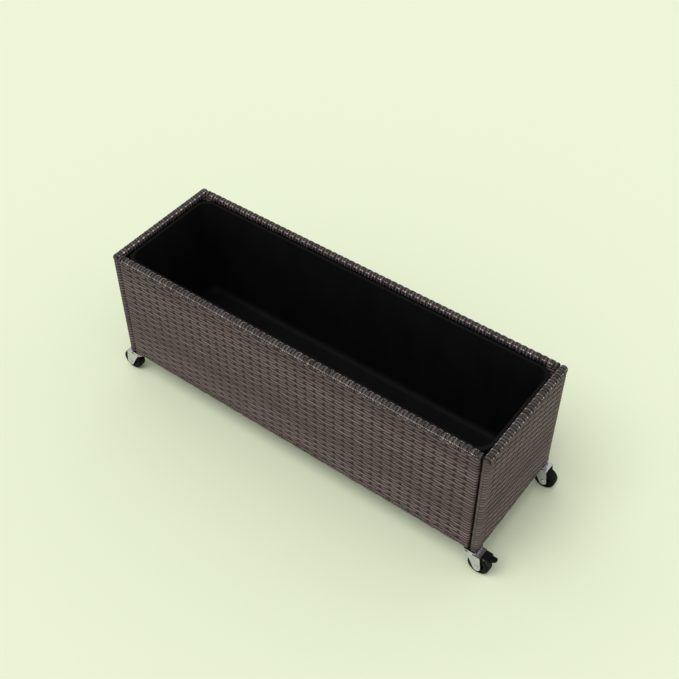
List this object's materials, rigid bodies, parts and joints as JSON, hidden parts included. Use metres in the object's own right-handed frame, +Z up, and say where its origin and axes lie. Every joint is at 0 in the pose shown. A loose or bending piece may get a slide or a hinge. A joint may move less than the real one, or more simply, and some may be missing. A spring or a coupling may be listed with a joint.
{
  "type": "rolling planter",
  "caption": "Long rectangular planter box of woven panels on tube frames with a lift-out liner, on small swivel casters, two of them with a foot brake.",
  "frame": {"origin": "on the floor, under the middle of the planter's footprint", "axes": "+X along the length towards the right end, -Y is the front face, +Z up"},
  "size_m": [1.0474, 0.3072, 0.3635],
  "materials": {
    "wicker": "satin flat resin strands",
    "frame_black": "black powder coat",
    "sheet_black": "black powder coat",
    "liner_black": "smooth moulded plastic",
    "zinc": "bright zinc plate",
    "bolt_steel": "plain steel",
    "tyre_black": "smooth hard rubber",
    "hub_black": "moulded plastic",
    "pedal_black": "moulded plastic"
  },
  "bodies": {
    "planter": {"front_frame": "frame_black", "front_edge_wrap": "wicker", "front_weave": "wicker", "back_frame": "frame_black", "back_edge_wrap": "wicker", "back_weave": "wicker", "left_frame": "frame_black", "left_edge_wrap": "wicker", "left_weave": "wicker", "right_frame": "frame_black", "right_edge_wrap": "wicker", "right_weave": "wicker", "front_left_lower_bolt": "bolt_steel", "front_left_upper_bolt": "bolt_steel", "front_right_lower_bolt": "bolt_steel", "front_right_upper_bolt": "bolt_steel", "back_left_lower_bolt": "bolt_steel", "back_left_upper_bolt": "bolt_steel", "back_right_lower_bolt": "bolt_steel", "back_right_upper_bolt": "bolt_steel", "deck": "sheet_black", "left_deck_bar": "sheet_black", "right_deck_bar": "sheet_black", "front_left_caster_plate": "zinc", "front_left_caster_cup": "zinc", "front_left_caster_cage": "bolt_steel", "front_left_caster_kingpin": "zinc", "front_right_caster_plate": "zinc", "front_right_caster_cup": "zinc", "front_right_caster_cage": "bolt_steel", "front_right_caster_kingpin": "zinc", "back_left_caster_plate": "zinc", "back_left_caster_cup": "zinc", "back_left_caster_cage": "bolt_steel", "back_left_caster_kingpin": "zinc", "back_right_caster_plate": "zinc", "back_right_caster_cup": "zinc", "back_right_caster_cage": "bolt_steel", "back_right_caster_kingpin": "zinc"},
    "liner": {"liner": "liner_black"},
    "front_left_swivel": {"front_left_caster_fork": "zinc", "front_left_caster_axle": "zinc"},
    "front_left_wheel": {"front_left_caster_tyre": "tyre_black", "front_left_caster_hub": "hub_black"},
    "front_right_swivel": {"front_right_caster_fork": "zinc", "front_right_caster_axle": "zinc"},
    "front_right_wheel": {"front_right_caster_tyre": "tyre_black", "front_right_caster_hub": "hub_black"},
    "front_right_brake": {"front_right_brake_pedal": "pedal_black", "front_right_brake_pin": "bolt_steel"},
    "back_left_swivel": {"back_left_caster_fork": "zinc", "back_left_caster_axle": "zinc"},
    "back_left_wheel": {"back_left_caster_tyre": "tyre_black", "back_left_caster_hub": "hub_black"},
    "back_left_brake": {"back_left_brake_pedal": "pedal_black", "back_left_brake_pin": "bolt_steel"},
    "back_right_swivel": {"back_right_caster_fork": "zinc", "back_right_caster_axle": "zinc"},
    "back_right_wheel": {"back_right_caster_tyre": "tyre_black", "back_right_caster_hub": "hub_black"}
  },
  "joints": [
    {"name": "liner_lift", "type": "slide", "parent": "planter", "child": "liner", "axis": [0, 0, 1], "range_m": [0, 0.3]},
    {"name": "front_left_swivel_turn", "type": "hinge", "parent": "planter", "child": "front_left_swivel", "pos_m": [-0.4672, -0.1367, 0.0535], "axis": [0, 0, 1], "continuous": true},
    {"name": "front_left_wheel_roll", "type": "hinge", "parent": "front_left_swivel", "child": "front_left_wheel", "pos_m": [-0.4867, -0.1367, 0.025], "axis": [0, -1, 0], "continuous": true},
    {"name": "front_right_swivel_turn", "type": "hinge", "parent": "planter", "child": "front_right_swivel", "pos_m": [0.4672, -0.1367, 0.0535], "axis": [0, 0, 1], "continuous": true},
    {"name": "front_right_wheel_roll", "type": "hinge", "parent": "front_right_swivel", "child": "front_right_wheel", "pos_m": [0.4867, -0.1367, 0.025], "axis": [0, 1, 0], "continuous": true},
    {"name": "front_right_brake_press", "type": "hinge", "parent": "front_right_swivel", "child": "front_right_brake", "pos_m": [0.4987, -0.1367, 0.0554], "axis": [0, 1, 0], "range_deg": [0, 11]},
    {"name": "back_left_swivel_turn", "type": "hinge", "parent": "planter", "child": "back_left_swivel", "pos_m": [-0.4672, 0.1367, 0.0535], "axis": [0, 0, 1], "continuous": true},
    {"name": "back_left_wheel_roll", "type": "hinge", "parent": "back_left_swivel", "child": "back_left_wheel", "pos_m": [-0.4867, 0.1367, 0.025], "axis": [0, -1, 0], "continuous": true},
    {"name": "back_left_brake_press", "type": "hinge", "parent": "back_left_swivel", "child": "back_left_brake", "pos_m": [-0.4987, 0.1367, 0.0554], "axis": [0, -1, 0], "range_deg": [0, 11]},
    {"name": "back_right_swivel_turn", "type": "hinge", "parent": "planter", "child": "back_right_swivel", "pos_m": [0.4672, 0.1367, 0.0535], "axis": [0, 0, 1], "continuous": true},
    {"name": "back_right_wheel_roll", "type": "hinge", "parent": "back_right_swivel", "child": "back_right_wheel", "pos_m": [0.4867, 0.1367, 0.025], "axis": [0, 1, 0], "continuous": true}
  ]
}
